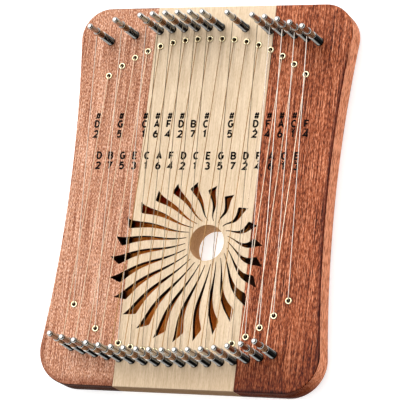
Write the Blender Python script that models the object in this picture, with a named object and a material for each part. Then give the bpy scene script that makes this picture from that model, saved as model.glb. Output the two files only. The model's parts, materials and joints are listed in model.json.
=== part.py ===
"""Cross-strung lyre harp: a waisted, laminated board with 31 tuning pins and looped wires.

The harp lies on its back. X runs across the strings, Y along them and Z out of the face.
The origin is the middle of the footprint, on the back.
"""
import math
from collections import namedtuple

import bmesh
import bpy
from mathutils import Matrix, Vector

MM = 0.001

# Board
BOARD_LENGTH = 250.6 * MM
BOARD_THICKNESS = 17.0 * MM
WAIST_WIDTH = 176.4 * MM
WAIST_Y = 4.0 * MM
TOP_FLARE = 8.0 * MM
BOTTOM_FLARE = 9.1 * MM
TOP_CORNER_RADIUS = 19.5 * MM
BOTTOM_CORNER_RADIUS = 23.0 * MM
BACK_EDGE_RADIUS = 2.0 * MM
FACE_EDGE_RADIUS = 0.8 * MM
CENTRE_PLANK_WIDTH = 81.4 * MM
SEAM_GAP = 0.3 * MM
CLEARANCE = 0.3 * MM

# Sound hole, with its place beside the centre of the rays
HOLE_RADIUS = 11.6 * MM
HOLE_RING_WIDTH = 2.8 * MM
HOLE_WALL = 2.4 * MM
HOLE_SHIFT = Vector((12.9 * MM, 12.5 * MM))

# Rays, swept across circles that widen and drift from the hole's ring out to the tips
RAY_COUNT = 24
RAY_CENTRE_X = -1.3 * MM
RAY_TIP_RADIUS = 52.0 * MM
RAY_FIRST_ANGLE = math.radians(102.3)
RAY_TURN = math.radians(4.6)
RAY_SWIRL = math.radians(4.8)
RAY_ROOT_SPREAD = math.radians(1.9)
RAY_SPREAD = math.radians(6.3)
RAY_SHOULDER = 0.855
RAY_DRIFT = 1.4

# Sound chamber and the panel that closes it at the back
SOUNDBOARD_THICKNESS = 4.0 * MM
CHAMBER_MARGIN = 1.0 * MM
LEDGE_WIDTH = 2.0 * MM
PANEL_THICKNESS = 3.0 * MM
PANEL_MARGIN = 3.1 * MM

# Columns of pins, numbered from the left
COLUMN_PITCH = 8.5 * MM
COLUMN_COUNT = 18
LOW_COLUMNS = tuple(range(17))
HIGH_COLUMNS = (0, 2, 4, 5, 6, 7, 8, 9, 11, 13, 14, 15, 16, 17)
HALF_SPAN = (COLUMN_COUNT - 1) / 2 * COLUMN_PITCH

# From the board's ends to the pins, and from the pins to the strings' far holes
TOP_PIN_MARGIN = 14.3 * MM
TOP_FERRULE_GAP = 7.8 * MM
BOTTOM_PIN_MARGIN = 16.5 * MM
BOTTOM_FERRULE_GAP = 6.6 * MM
TOP_PIN_Y = BOARD_LENGTH / 2 - TOP_PIN_MARGIN
BOTTOM_PIN_Y = BOTTOM_PIN_MARGIN - BOARD_LENGTH / 2

# A bowed row: apex_y at centre_x, and drop towards the board's middle at HALF_SPAN from it
Row = namedtuple("Row", "apex_y centre_x drop power")
TOP_PIN_ROW = Row(TOP_PIN_Y, -4.0 * MM, 9.6 * MM, 2.3)
TOP_FERRULE_ROW = Row(TOP_PIN_Y - TOP_FERRULE_GAP, -2.5 * MM, 28.3 * MM, 2.4)
BOTTOM_FERRULE_ROW = Row(BOTTOM_PIN_Y + BOTTOM_FERRULE_GAP, -4.5 * MM, 31.6 * MM, 2.7)
BOTTOM_PIN_ROW = Row(BOTTOM_PIN_Y, -3.5 * MM, 8.8 * MM, 2.2)

# Tuning pin, with heights above the face
PIN_SIDES = 10
PIN_LEAN = math.radians(2.0)
PIN_DEPTH = 13.0 * MM
PIN_HEIGHT = 34.0 * MM
BARREL_RADIUS = 2.5 * MM
BARREL_HEIGHT = 14.2 * MM
COIL_RADIUS = 2.15 * MM
COIL_HEIGHT = 7.0 * MM
BEAD_RADIUS = 2.4 * MM
BEAD_HEIGHT = 2.0 * MM
SHANK_RADIUS = 1.8 * MM
CROWN_HEIGHT = 0.9 * MM
PIN_CHAMFER = 0.4 * MM

# Ferrules and the wires that loop through them
FERRULE_RADIUS = 1.9 * MM
FERRULE_HEIGHT = 0.5 * MM
FERRULE_SIDES = 10
BORE_RADIUS = 0.9 * MM
WIRE_RADIUS = 0.25 * MM
WIRE_BEND_RADIUS = 0.9 * MM
LOOP_HEIGHT = 1.2 * MM
GROOVE_DEPTH = 2.0 * MM
GROOVE_MARGIN = 0.1 * MM
KNOT_RADIUS = 1.2 * MM
KNOT_SHOULDER = 0.3 * MM
KNOT_LENGTH = 0.6 * MM

# How finely round stretches are divided
CORNER_STEPS = 6
CORNER_TRIALS = 60
SIDE_STEPS = 12
RAY_STEPS = 6
HOLE_SIDES = 32
PANEL_SIDES = 44

# The steepest that a side meets its corner's arc
CORNER_TOUCH = math.radians(30)

# How far a cutter runs past what it cuts
CUT_MARGIN = 5.0 * MM

# Wires, each over one or two columns
LOW_LOOPS = ((0, 1), (2, 3), (4, 5), (6, 7), (8,), (9, 10), (11, 12), (13, 14), (15, 16))
HIGH_LOOPS = ((0, 2), (4, 5), (6, 7), (8, 9), (11, 13), (14, 15), (16, 17))

STRING_OFFSET = COIL_RADIUS - WIRE_RADIUS
CHAMBER_RADIUS = RAY_TIP_RADIUS + CHAMBER_MARGIN
REBATE_RADIUS = CHAMBER_RADIUS + LEDGE_WIDTH
HOLE_WALL_RADIUS = HOLE_RADIUS + HOLE_WALL
RAY_ROOT_RADIUS = HOLE_RADIUS + HOLE_RING_WIDTH
RAY_SPAN = RAY_TIP_RADIUS - RAY_ROOT_RADIUS
RAY_CENTRE = Vector((RAY_CENTRE_X, BOTTOM_FERRULE_ROW.apex_y + PANEL_MARGIN + REBATE_RADIUS))
HOLE_CENTRE = RAY_CENTRE + HOLE_SHIFT


def clear_scene():
    """Removes every object that the scene starts with."""
    for obj in list(bpy.data.objects):
        bpy.data.objects.remove(obj, do_unlink=True)


def material(name, colour, roughness, metallic=0.0):
    """A Principled material."""
    result = bpy.data.materials.new(name)
    result.use_nodes = True
    shader = result.node_tree.nodes["Principled BSDF"]
    shader.inputs["Base Color"].default_value = (*colour, 1.0)
    shader.inputs["Roughness"].default_value = roughness
    shader.inputs["Metallic"].default_value = metallic
    return result


def mesh_from(name, bm):
    """Turns a bmesh into a mesh with its faces pointing out."""
    bmesh.ops.recalc_face_normals(bm, faces=bm.faces)
    mesh = bpy.data.meshes.new(name)
    bm.to_mesh(mesh)
    bm.free()
    return mesh


def add_object(name, data, finish=None):
    """Links a new object to the scene."""
    obj = bpy.data.objects.new(name, data)
    bpy.context.scene.collection.objects.link(obj)
    if finish:
        data.materials.append(finish)
    return obj


def add_cutter(name, bm):
    """A helper solid for a Boolean, which never shows."""
    obj = add_object(name, mesh_from(name, bm))
    obj.hide_render = True
    obj.display_type = "WIRE"
    return obj


def add_boolean(obj, tool, operation):
    """Joins, cuts or crosses obj with tool."""
    modifier = obj.modifiers.new(tool.name, "BOOLEAN")
    modifier.object = tool
    modifier.operation = operation
    modifier.solver = "EXACT"


def evaluated_mesh(obj, name):
    """A plain mesh with the object's modifiers worked in."""
    bpy.context.view_layer.update()
    graph = bpy.context.evaluated_depsgraph_get()
    mesh = bpy.data.meshes.new_from_object(obj.evaluated_get(graph))
    mesh.name = name
    return mesh


def smooth(mesh, angle=40.0):
    """Shades round surfaces smooth and keeps the edges sharper than angle."""
    mesh.shade_smooth()
    mesh.set_sharp_from_angle(angle=math.radians(angle))


def add_loft(bm, loops):
    """Skins a stack of equal point loops and closes both ends."""
    rings = [[bm.verts.new(point) for point in loop] for loop in loops]
    for low, high in zip(rings, rings[1:]):
        for i in range(len(low)):
            j = (i + 1) % len(low)
            bm.faces.new((low[i], low[j], high[j], high[i]))
    bm.faces.new(list(reversed(rings[0])))
    bm.faces.new(rings[-1])


def add_prism(bm, outline, low, high):
    """Extrudes a flat outline from height low to height high."""
    add_loft(bm, [[(x, y, z) for x, y in outline] for z in (low, high)])


def circle(centre, radius, sides, phase=0.0):
    """Points of a regular polygon on a circle."""
    step = 2 * math.pi / sides
    return [
        (centre[0] + radius * math.cos(phase + i * step), centre[1] + radius * math.sin(phase + i * step))
        for i in range(sides)
    ]


def add_turned(bm, profile, sides, placement=None):
    """Revolves (height, radius) points about Z, then closes the ends."""
    loops = [[(x, y, z) for x, y in circle((0, 0), r, sides)] for z, r in profile]
    first = len(bm.verts)
    add_loft(bm, loops)
    if placement:
        bm.verts.ensure_lookup_table()
        bmesh.ops.transform(bm, matrix=placement, verts=bm.verts[first:])


def column_x(column):
    """The middle of a column of pins."""
    return column * COLUMN_PITCH - HALF_SPAN


def row_y(row, x):
    """Where a bowed row passes x."""
    bow = row.drop * abs((x - row.centre_x) / HALF_SPAN) ** row.power
    return row.apex_y - math.copysign(bow, row.apex_y)


def side_half_width(y):
    """Half the board's width at y, from the waist out to the flared ends."""
    if y > WAIST_Y:
        return WAIST_WIDTH / 2 + TOP_FLARE * ((y - WAIST_Y) / (BOARD_LENGTH / 2 - WAIST_Y)) ** 2
    return WAIST_WIDTH / 2 + BOTTOM_FLARE * ((WAIST_Y - y) / (BOARD_LENGTH / 2 + WAIST_Y)) ** 2


def corner_arc(end, radius):
    """The arc at the right from the flared side, which it just touches, to the end at 1 or -1."""
    centre_y = BOARD_LENGTH / 2 - radius
    touches = []
    for i in range(CORNER_TRIALS + 1):
        angle = CORNER_TOUCH * (2 * i / CORNER_TRIALS - 1)
        side = side_half_width(end * (centre_y + radius * math.sin(angle)))
        touches.append((side - radius * math.cos(angle), angle))
    centre_x, first = min(touches)
    angles = [first + (math.pi / 2 - first) * i / CORNER_STEPS for i in range(CORNER_STEPS + 1)]
    return [
        Vector((centre_x + radius * math.cos(a), end * (centre_y + radius * math.sin(a)))) for a in angles
    ]


def board_outline():
    """The waisted outline, anticlockwise from the bottom of the right side."""
    top = corner_arc(1, TOP_CORNER_RADIUS)
    bottom = corner_arc(-1, BOTTOM_CORNER_RADIUS)
    low, high = bottom[0].y, top[0].y
    heights = [low + (high - low) * i / SIDE_STEPS for i in range(1, SIDE_STEPS)]
    side = [Vector((side_half_width(y), y)) for y in heights]
    right = list(reversed(bottom)) + side + top
    left = [Vector((-p.x, p.y)) for p in reversed(right)]
    return right + left


def inset(outline, depth):
    """The outline moved inwards by depth, along the mean of its edges' normals."""
    moved = []
    for i, point in enumerate(outline):
        before = (point - outline[i - 1]).normalized()
        after = (outline[(i + 1) % len(outline)] - point).normalized()
        along = (before + after).normalized()
        moved.append(point + Vector((-along.y, along.x)) * depth / along.dot(after))
    return moved


def add_board(bm):
    """The whole board with a rounded back edge and a softened face edge."""
    outline = board_outline()
    halfway = BACK_EDGE_RADIUS * (1 - math.sin(math.radians(45)))
    levels = [
        (0.0, BACK_EDGE_RADIUS),
        (halfway, halfway),
        (BACK_EDGE_RADIUS, 0.0),
        (BOARD_THICKNESS - FACE_EDGE_RADIUS, 0.0),
        (BOARD_THICKNESS, FACE_EDGE_RADIUS),
    ]
    add_loft(bm, [[(p.x, p.y, z) for p in inset(outline, depth)] for z, depth in levels])


def ray_point(share, angle):
    """A point on one of the circles between the hole's ring, at share 0, and the tips, at share 1."""
    centre = RAY_CENTRE.lerp(HOLE_CENTRE, (1 - share) ** RAY_DRIFT)
    radius = RAY_ROOT_RADIUS + RAY_SPAN * share
    return centre + radius * Vector((math.cos(angle), math.sin(angle)))


def ray_outline(index):
    """One ray: a slit at the ring, swept in an S, widening to a shoulder and hooked to a sharp tip."""
    tip_angle = RAY_FIRST_ANGLE - index * 2 * math.pi / RAY_COUNT
    reach = (ray_point(1, tip_angle) - ray_point(0, tip_angle)).length
    delay = max(1.0, RAY_SPAN / reach)

    def edge(end, root_spread, spread):
        points = []
        for i in range(RAY_STEPS + 1):
            share = end * i / RAY_STEPS
            sweep = RAY_TURN * (1 - share) - RAY_SWIRL * math.sin(math.pi * share) ** 2
            width = root_spread + spread * share ** delay
            points.append(ray_point(share, tip_angle + sweep + width))
        return points

    return edge(1.0, 0.0, 0.0) + list(reversed(edge(RAY_SHOULDER, RAY_ROOT_SPREAD, RAY_SPREAD)))


def string_bores():
    """Where the strings pass through the board, those of the bottom pins first."""
    low = [(column_x(column) + STRING_OFFSET, TOP_FERRULE_ROW) for column in LOW_COLUMNS]
    high = [(column_x(column) - STRING_OFFSET, BOTTOM_FERRULE_ROW) for column in HIGH_COLUMNS]
    return [Vector((x, row_y(row, x))) for x, row in low + high]


def pin_placements():
    """(name, base point, lean) of every pin. The pins lean towards their strings."""
    found = []
    for prefix, columns, row, lean in (
        ("pin_bottom", LOW_COLUMNS, BOTTOM_PIN_ROW, -PIN_LEAN),
        ("pin_top", HIGH_COLUMNS, TOP_PIN_ROW, PIN_LEAN),
    ):
        for column in columns:
            x = column_x(column)
            base = Vector((x, row_y(row, x), BOARD_THICKNESS))
            found.append((f"{prefix}_{column:02d}", base, lean))
    return found


def loop_ends(columns, offset, row):
    """Where a wire's strings pass through the board."""
    places = [column_x(column) + offset for column in columns]
    return [Vector((x, row_y(row, x))) for x in places]


def all_loops():
    """The ferrule points of every wire."""
    low = [loop_ends(loop, STRING_OFFSET, TOP_FERRULE_ROW) for loop in LOW_LOOPS]
    high = [loop_ends(loop, -STRING_OFFSET, BOTTOM_FERRULE_ROW) for loop in HIGH_LOOPS]
    return low + high


def ferrule_discs():
    """The raised rings round the string bores, as discs that the bores open."""
    bm = bmesh.new()
    sunk = BOARD_THICKNESS - FERRULE_HEIGHT
    for centre in string_bores():
        ring = circle(centre, FERRULE_RADIUS, FERRULE_SIDES)
        add_prism(bm, ring, sunk, BOARD_THICKNESS + FERRULE_HEIGHT)
    return add_cutter("ferrule_tool", bm)


def bore_cutter():
    """The string bores and the sound hole, right through the board."""
    bm = bmesh.new()
    low, high = -CUT_MARGIN, BOARD_THICKNESS + CUT_MARGIN
    for centre in string_bores():
        add_prism(bm, circle(centre, BORE_RADIUS, FERRULE_SIDES), low, high)
    add_prism(bm, circle(HOLE_CENTRE, HOLE_RADIUS, HOLE_SIDES), low, high)
    return add_cutter("bore_tool", bm)


def ray_cutter():
    """All rays, from inside the chamber up through the soundboard."""
    bm = bmesh.new()
    low = BOARD_THICKNESS - SOUNDBOARD_THICKNESS - CLEARANCE
    for index in range(RAY_COUNT):
        add_prism(bm, ray_outline(index), low, BOARD_THICKNESS + CUT_MARGIN)
    return add_cutter("ray_tool", bm)


def chamber_cutter():
    """The round chamber with the panel's rebate, round the wall of the sound hole."""
    bm = bmesh.new()
    rebate = PANEL_THICKNESS + CLEARANCE
    ceiling = BOARD_THICKNESS - SOUNDBOARD_THICKNESS
    profile = [
        (-CUT_MARGIN, REBATE_RADIUS),
        (rebate, REBATE_RADIUS),
        (rebate, CHAMBER_RADIUS),
        (ceiling, CHAMBER_RADIUS),
    ]
    add_turned(bm, profile, PANEL_SIDES, Matrix.Translation((*RAY_CENTRE, 0.0)))
    chamber = add_cutter("chamber_tool", bm)
    core = bmesh.new()
    add_prism(core, circle(HOLE_CENTRE, HOLE_WALL_RADIUS, HOLE_SIDES), -2 * CUT_MARGIN, BOARD_THICKNESS)
    add_boolean(chamber, add_cutter("hole_wall_tool", core), "DIFFERENCE")
    return chamber


def pin_hole_cutter():
    """Blind holes that take the pins, each leaning with its pin."""
    bm = bmesh.new()
    radius = BARREL_RADIUS + CLEARANCE / math.cos(math.pi / PIN_SIDES)
    profile = [(-PIN_DEPTH - CLEARANCE, radius), (CUT_MARGIN, radius)]
    for _, base, lean in pin_placements():
        placement = Matrix.Translation(base) @ Matrix.Rotation(lean, 4, "X")
        add_turned(bm, profile, PIN_SIDES, placement)
    return add_cutter("pin_hole_tool", bm)


def groove_cutter():
    """Short grooves in the back, in which the wires cross from bore to bore, and the knot's pocket."""
    bm = bmesh.new()
    pocket_radius = KNOT_RADIUS + CLEARANCE / math.cos(math.pi / FERRULE_SIDES)
    for ends in all_loops():
        if len(ends) == 1:
            add_prism(bm, circle(ends[0], pocket_radius, FERRULE_SIDES), -CUT_MARGIN, GROOVE_DEPTH)
            continue
        start, stop = ends
        along = (stop - start).normalized() * (BORE_RADIUS + GROOVE_MARGIN)
        across = Vector((-along.y, along.x))
        outline = [
            start - along - across,
            stop + along - across,
            stop + along + across,
            start - along + across,
        ]
        add_prism(bm, outline, -CUT_MARGIN, GROOVE_DEPTH)
    return add_cutter("groove_tool", bm)


def carved_board():
    """The board with every ferrule, hole, ray, groove and chamber, before it is parted into planks."""
    bm = bmesh.new()
    add_board(bm)
    board = add_cutter("board_tool", bm)
    add_boolean(board, ferrule_discs(), "UNION")
    add_boolean(board, chamber_cutter(), "DIFFERENCE")
    add_boolean(board, ray_cutter(), "DIFFERENCE")
    add_boolean(board, bore_cutter(), "DIFFERENCE")
    add_boolean(board, pin_hole_cutter(), "DIFFERENCE")
    add_boolean(board, groove_cutter(), "DIFFERENCE")
    return evaluated_mesh(board, "carved_board")


def build_planks():
    """Parts the carved board along its two glued seams."""
    carved = carved_board()
    seam = CENTRE_PLANK_WIDTH / 2
    outside = BOARD_LENGTH
    planks = (
        ("body_left", -outside, -seam - SEAM_GAP / 2, ((0.52, 0.25, 0.16), 0.45)),
        ("body_centre", -seam + SEAM_GAP / 2, seam - SEAM_GAP / 2, ((0.80, 0.66, 0.45), 0.45)),
        ("body_right", seam + SEAM_GAP / 2, outside, ((0.42, 0.15, 0.10), 0.45)),
    )
    for name, low, high, (colour, roughness) in planks:
        bm = bmesh.new()
        strip = [(low, -outside), (high, -outside), (high, outside), (low, outside)]
        add_prism(bm, strip, -CUT_MARGIN, BOARD_THICKNESS + CUT_MARGIN)
        plank = add_object(name, carved.copy(), material(name, colour, roughness))
        add_boolean(plank, add_cutter(f"{name}_tool", bm), "INTERSECT")


def build_back_panel():
    """The round panel that closes the chamber, flush with the back and open at the sound hole."""
    bm = bmesh.new()
    radius = REBATE_RADIUS - CLEARANCE / math.cos(math.pi / PANEL_SIDES)
    add_prism(bm, circle(RAY_CENTRE, radius, PANEL_SIDES), 0.0, PANEL_THICKNESS)
    finish = material("back_panel", (0.45, 0.22, 0.08), 0.5)
    panel = add_object("back_panel", mesh_from("back_panel", bm), finish)
    core = bmesh.new()
    opening = HOLE_WALL_RADIUS + CLEARANCE / math.cos(math.pi / HOLE_SIDES)
    add_prism(core, circle(HOLE_CENTRE, opening, HOLE_SIDES), -CUT_MARGIN, PANEL_THICKNESS + CUT_MARGIN)
    add_boolean(panel, add_cutter("panel_hole_tool", core), "DIFFERENCE")


def pin_mesh():
    """A turned pin about its own axis, with its coil of wire and its bead as part of it."""
    coil_top = BARREL_HEIGHT + COIL_HEIGHT
    bead_top = coil_top + BEAD_HEIGHT
    profile = [
        (-PIN_DEPTH, BARREL_RADIUS),
        (BARREL_HEIGHT - PIN_CHAMFER, BARREL_RADIUS),
        (BARREL_HEIGHT, COIL_RADIUS),
        (coil_top, COIL_RADIUS),
        (coil_top + PIN_CHAMFER, BEAD_RADIUS),
        (bead_top - PIN_CHAMFER, BEAD_RADIUS),
        (bead_top, SHANK_RADIUS),
        (PIN_HEIGHT - CROWN_HEIGHT, SHANK_RADIUS),
        (PIN_HEIGHT, SHANK_RADIUS / 2),
    ]
    bm = bmesh.new()
    add_turned(bm, profile, PIN_SIDES)
    mesh = mesh_from("tuning_pin", bm)
    smooth(mesh, 30.0)
    return mesh


def build_pins():
    """Every tuning pin, with its origin on its axis at the board's face."""
    mesh = pin_mesh()
    mesh.materials.append(material("tuning_pin", (0.75, 0.75, 0.78), 0.15, 1.0))
    for name, base, lean in pin_placements():
        pin = add_object(name, mesh)
        pin.location = base
        pin.rotation_euler = (lean, 0.0, 0.0)


def string_points(ferrule, pin_row, lean):
    """A wire from its coil to the mouth of its bore, where it bends down."""
    x, y = ferrule
    side = math.copysign(1.0, row_y(pin_row, x) - y)
    column = x - math.copysign(STRING_OFFSET, lean)
    mid_coil = BARREL_HEIGHT + COIL_HEIGHT / 2
    pin_y = row_y(pin_row, column) - side * math.sin(PIN_LEAN) * mid_coil
    reach = math.sqrt((COIL_RADIUS + CLEARANCE) ** 2 - (STRING_OFFSET - WIRE_RADIUS) ** 2)
    start = Vector((x, pin_y - side * reach, BOARD_THICKNESS + math.cos(PIN_LEAN) * mid_coil))
    crest = BOARD_THICKNESS + FERRULE_HEIGHT + CLEARANCE + WIRE_RADIUS
    points = [start]
    for angle in (75, 15):
        turn = math.radians(angle)
        forward = WIRE_BEND_RADIUS * (1 - math.cos(turn))
        down = WIRE_BEND_RADIUS * (1 - math.sin(turn))
        points.append(Vector((x, y + side * forward, crest - down)))
    return points


def knot_points(end):
    """(point, radius) down the knot that stops a single wire under its bore."""
    neck = GROOVE_DEPTH - CLEARANCE
    levels = (
        (neck, WIRE_RADIUS),
        (neck - KNOT_SHOULDER, KNOT_RADIUS),
        (neck - KNOT_SHOULDER - KNOT_LENGTH, KNOT_RADIUS),
        (neck - 2 * KNOT_SHOULDER - KNOT_LENGTH, WIRE_RADIUS),
    )
    return [(Vector((*end, height)), radius) for height, radius in levels]


def loop_turn(here, there):
    """The bend at the back, from the bore at here towards the bore at there."""
    along = (there - here).normalized()
    points = []
    for angle in (15, 75):
        turn = math.radians(angle)
        forward = WIRE_BEND_RADIUS * (1 - math.cos(turn))
        height = LOOP_HEIGHT + WIRE_BEND_RADIUS * (1 - math.sin(turn))
        points.append(Vector((*(here + along * forward), height)))
    return points


def add_wire(name, path, finish):
    """A round wire along (point, radius) pairs."""
    curve = bpy.data.curves.new(name, "CURVE")
    curve.dimensions = "3D"
    curve.bevel_depth = WIRE_RADIUS
    curve.bevel_resolution = 2
    curve.use_fill_caps = True
    spline = curve.splines.new("POLY")
    spline.points.add(len(path) - 1)
    for target, (point, radius) in zip(spline.points, path):
        target.co = (*point, 1.0)
        target.radius = radius / WIRE_RADIUS
    add_object(name, curve, finish)


def build_wires():
    """Wires that each make two strings, looped at the back, and one that ends there in a knot."""
    finish = material("wire", (0.70, 0.68, 0.64), 0.25, 1.0)
    groups = (
        ("wire_low", LOW_LOOPS, STRING_OFFSET, TOP_FERRULE_ROW, BOTTOM_PIN_ROW),
        ("wire_high", HIGH_LOOPS, -STRING_OFFSET, BOTTOM_FERRULE_ROW, TOP_PIN_ROW),
    )
    for prefix, loops, offset, ferrule_row, pin_row in groups:
        for columns in loops:
            ends = loop_ends(columns, offset, ferrule_row)
            name = "_".join([prefix] + [f"{column:02d}" for column in columns])
            points = string_points(ends[0], pin_row, offset)
            knot = []
            if len(ends) == 1:
                knot = knot_points(ends[0])
            else:
                points += loop_turn(ends[0], ends[1])
                points += reversed(loop_turn(ends[1], ends[0]))
                points += reversed(string_points(ends[1], pin_row, offset))
            add_wire(name, [(point, WIRE_RADIUS) for point in points] + knot, finish)


def main():
    clear_scene()
    build_planks()
    build_back_panel()
    build_pins()
    build_wires()


main()
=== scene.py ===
"""The looks of a cross-strung lyre harp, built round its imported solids."""
import json
import math

import bmesh
import bpy
from mathutils import Matrix, Vector

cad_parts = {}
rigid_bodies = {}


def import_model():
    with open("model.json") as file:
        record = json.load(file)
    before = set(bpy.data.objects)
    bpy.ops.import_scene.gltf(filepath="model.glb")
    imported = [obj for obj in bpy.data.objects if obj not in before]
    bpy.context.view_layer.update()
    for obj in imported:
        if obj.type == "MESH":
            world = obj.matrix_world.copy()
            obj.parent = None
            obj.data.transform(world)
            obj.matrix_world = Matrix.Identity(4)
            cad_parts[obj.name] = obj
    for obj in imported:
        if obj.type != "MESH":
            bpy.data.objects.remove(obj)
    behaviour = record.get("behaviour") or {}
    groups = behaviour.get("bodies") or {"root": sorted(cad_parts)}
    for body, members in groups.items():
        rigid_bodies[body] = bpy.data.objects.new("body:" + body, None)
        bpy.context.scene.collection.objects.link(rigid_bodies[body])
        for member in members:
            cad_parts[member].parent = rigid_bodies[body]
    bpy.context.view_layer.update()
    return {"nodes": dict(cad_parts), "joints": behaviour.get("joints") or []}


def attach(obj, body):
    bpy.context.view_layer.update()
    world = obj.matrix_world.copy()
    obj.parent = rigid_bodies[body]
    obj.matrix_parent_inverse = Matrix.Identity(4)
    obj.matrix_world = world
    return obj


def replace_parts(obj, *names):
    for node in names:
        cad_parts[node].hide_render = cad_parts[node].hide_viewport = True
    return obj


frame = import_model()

MM = 0.001

# Board, as the solids have it
BOARD_LENGTH = 250.6 * MM
FACE = 17 * MM
WAIST_WIDTH = 176.4 * MM
WAIST_Y = 4.0 * MM
TOP_FLARE = 8.0 * MM
BOTTOM_FLARE = 9.1 * MM
TOP_CORNER_RADIUS = 19.5 * MM
BOTTOM_CORNER_RADIUS = 23.0 * MM
CORNER_TOUCH = math.radians(30)
BACK_EDGE_RADIUS = 2.0 * MM
FACE_EDGE_RADIUS = 0.8 * MM
SEAM = 40.7 * MM
SEAM_GAP = 0.24 * MM
FLOOR_DROP = 0.2 * MM
FLOOR_GLOW = 0.68

# Sound hole, rays and chamber
HOLE_RADIUS = 11.6 * MM
HOLE_WALL_RADIUS = 14.0 * MM
HOLE_SHIFT = Vector((12.9 * MM, 12.5 * MM))
RAY_COUNT = 24
RAY_CENTRE = Vector((-1.3 * MM, -44.1 * MM))
RAY_ROOT_RADIUS = 14.4 * MM
RAY_TIP_RADIUS = 52.0 * MM
RAY_FIRST_ANGLE = math.radians(102.3)
RAY_TURN = math.radians(4.6)
RAY_SWIRL = math.radians(4.8)
RAY_ROOT_SPREAD = math.radians(1.9)
RAY_SPREAD = math.radians(6.3)
RAY_SHOULDER = 0.855
RAY_DRIFT = 1.4
RAY_CORNER_CUT = 0.9 * MM
RAY_DEPTH = 4.3 * MM
CHAMBER_RADIUS = 53.0 * MM
CHAMBER_CEILING = 13.0 * MM
REBATE_RADIUS = 55.0 * MM
PANEL_THICKNESS = 3.0 * MM
CLEARANCE = 0.3 * MM
POCKET_MIDDLE = -6.0 * MM
POCKET_HALF = 40.0 * MM
HOLE_CENTRE = RAY_CENTRE + HOLE_SHIFT

# String bores, with their grooves in the back and the knot's pocket
BORE_RADIUS = 1.34 * MM
GROOVE_DEPTH = 2.0 * MM
POCKET_RADIUS = 1.7 * MM

# How finely round stretches are divided
CORNER_STEPS = 18
SIDE_STEPS = 40
EDGE_STEPS = 5
RAY_STEPS = 22
ROUND_SIDES = 96
BORE_SIDES = 20

# How far a cutter runs past what it cuts
CUT_MARGIN = 5.0 * MM

# The narrow gaps round what is set into the face, whose near-black walls paint contact shade
PIN_GAP = 0.35 * MM
FERRULE_GAP = 0.2 * MM

# Camera
CAMERA_TARGET = Vector((3.77 * MM, -3.99 * MM, FACE))
CAMERA_AZIMUTH = math.radians(57.42)
CAMERA_ELEVATION = math.radians(62.79)
CAMERA_ROLL = math.radians(-53.65)
CAMERA_DISTANCE = 1.5157
CAMERA_LENS = 216.9
CAMERA_SENSOR = 36.0

# Tuning pin, with heights above the face
PIN_SIDES = 32
BARREL_RADIUS = 2.5 * MM
BARREL_HEIGHT = 14.2 * MM
THREAD_PITCH = 0.56 * MM
THREAD_DEPTH = 0.26 * MM
WAIST_RADIUS = 1.7 * MM
COIL_HEIGHT = 7.0 * MM
COIL_RADIUS = 2.15 * MM
COIL_TURNS = 9
BEAD_RADIUS = 2.4 * MM
BEAD_HEIGHT = 2.0 * MM
SHANK_RADIUS = 1.8 * MM
PIN_HEIGHT = 34.0 * MM
CROWN_BEVEL = 1.1 * MM
NECK_DEPTH = 0.5 * MM
PIN_SUNK = 2.0 * MM

# Strings and ferrules
WIRE_RADIUS = 0.25 * MM
MOUTH_HEIGHT = 0.6 * MM
FERRULE_RADIUS = 2.1 * MM
FERRULE_HEIGHT = 0.56 * MM
FERRULE_BORE = 1.3 * MM
FERRULE_DEPTH = 0.8 * MM
FERRULE_SIDES = 32

# Note names, with the heights of their rows along Y
INK_HEIGHT = 0.03 * MM
LETTER_BOX = (2.85 * MM, 4.15 * MM)
LETTER_STROKE = 1.2 * MM
SHARP_BOX = (3.1 * MM, 4.1 * MM)
SHARP_STROKE = 0.98 * MM
DOT_RADIUS = 0.55 * MM
DOT_GAP = 1.5 * MM
UPPER_ROWS = {"sharp": 51.6 * MM, "letter": 46.2 * MM, "dot": 42.6 * MM, "number": 39.5 * MM}
LOWER_ROWS = {"letter": 25.1 * MM, "dot": 21.6 * MM, "number": 18.4 * MM}
UPPER_SHIFT = -2.55 * MM
LOWER_SHIFT = 1.8 * MM
FIRST_NUDGE = 0.55 * MM
DEGREES = {"C": 1, "D": 2, "E": 3, "F": 4, "G": 5, "A": 6, "B": 7}
UPPER_NOTES = {
    0: "#D", 2: "#G", 4: "#C", 5: "#A", 6: "#F", 7: "#D", 8: "B",
    9: "#C", 11: "#G", 13: "#D", 14: "#F", 15: "#A", 16: "#C", 17: "F",
}
LOWER_NOTES = "DBGECAFDCEGBDFACE"
UPPER_DOTS = {13: 1, 14: 1, 15: 1, 16: 2, 17: 2}
LOWER_DOTS = {12: 1, 13: 1, 14: 1, 15: 2, 16: 2}

# Light: (azimuth, elevation, inner angle, outer angle, strength) in degrees, azimuth from +X to +Y
WORLD_BASE = 0.75
WORLD_BOX = (150, 50, 30, 48, 2.3)
WORLD_FLAGS = (
    (-30, 38, 32, 50, 0.97),
    (-62, 18, 14, 30, 0.9),
    (25, 28, 20, 42, 0.85),
)


def add_node(tree, kind, inputs=None, **settings):
    """A shader node with its settings, and inputs that are values or other nodes' outputs."""
    made = tree.nodes.new(kind)
    for key, value in settings.items():
        setattr(made, key, value)
    for key, value in (inputs or {}).items():
        if isinstance(value, bpy.types.NodeSocket):
            tree.links.new(value, made.inputs[key])
        else:
            made.inputs[key].default_value = value
    return made


def calc(tree, operation, first, second=0.0):
    """One step of arithmetic on values or other nodes' outputs."""
    return add_node(tree, "ShaderNodeMath", {0: first, 1: second}, operation=operation).outputs[0]


def new_material(name):
    """A material with its node tree and Principled shader."""
    material = bpy.data.materials.new(name)
    material.use_nodes = True
    return material, material.node_tree, material.node_tree.nodes["Principled BSDF"]


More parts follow.
